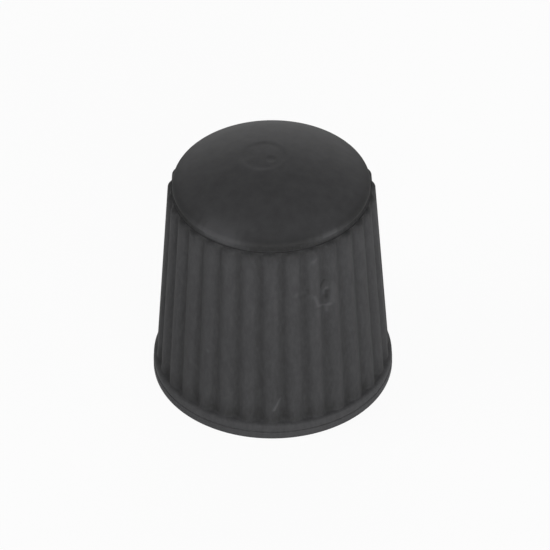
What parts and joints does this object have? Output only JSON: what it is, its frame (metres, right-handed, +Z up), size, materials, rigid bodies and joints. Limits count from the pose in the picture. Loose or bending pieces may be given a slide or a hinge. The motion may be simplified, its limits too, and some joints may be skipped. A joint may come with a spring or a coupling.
{
  "type": "tyre valve cap",
  "caption": "Black plastic tyre valve cap: tapered body with a ribbed grip, domed crown and foot flange, threaded inside to screw onto a valve stem and keep dirt out.",
  "frame": {"origin": "centre of the open mouth, on the face that the cap stands on", "axes": "+Z up the cap's axis to the crown; one rib of the grip faces -Y, which is the side that the picture shows"},
  "size_m": [0.011, 0.011, 0.0121],
  "materials": {
    "black_polypropylene": "moulded, satin, with a fine grain"
  },
  "bodies": {
    "root": {"valve_cap": "black_polypropylene"}
  },
  "joints": []
}
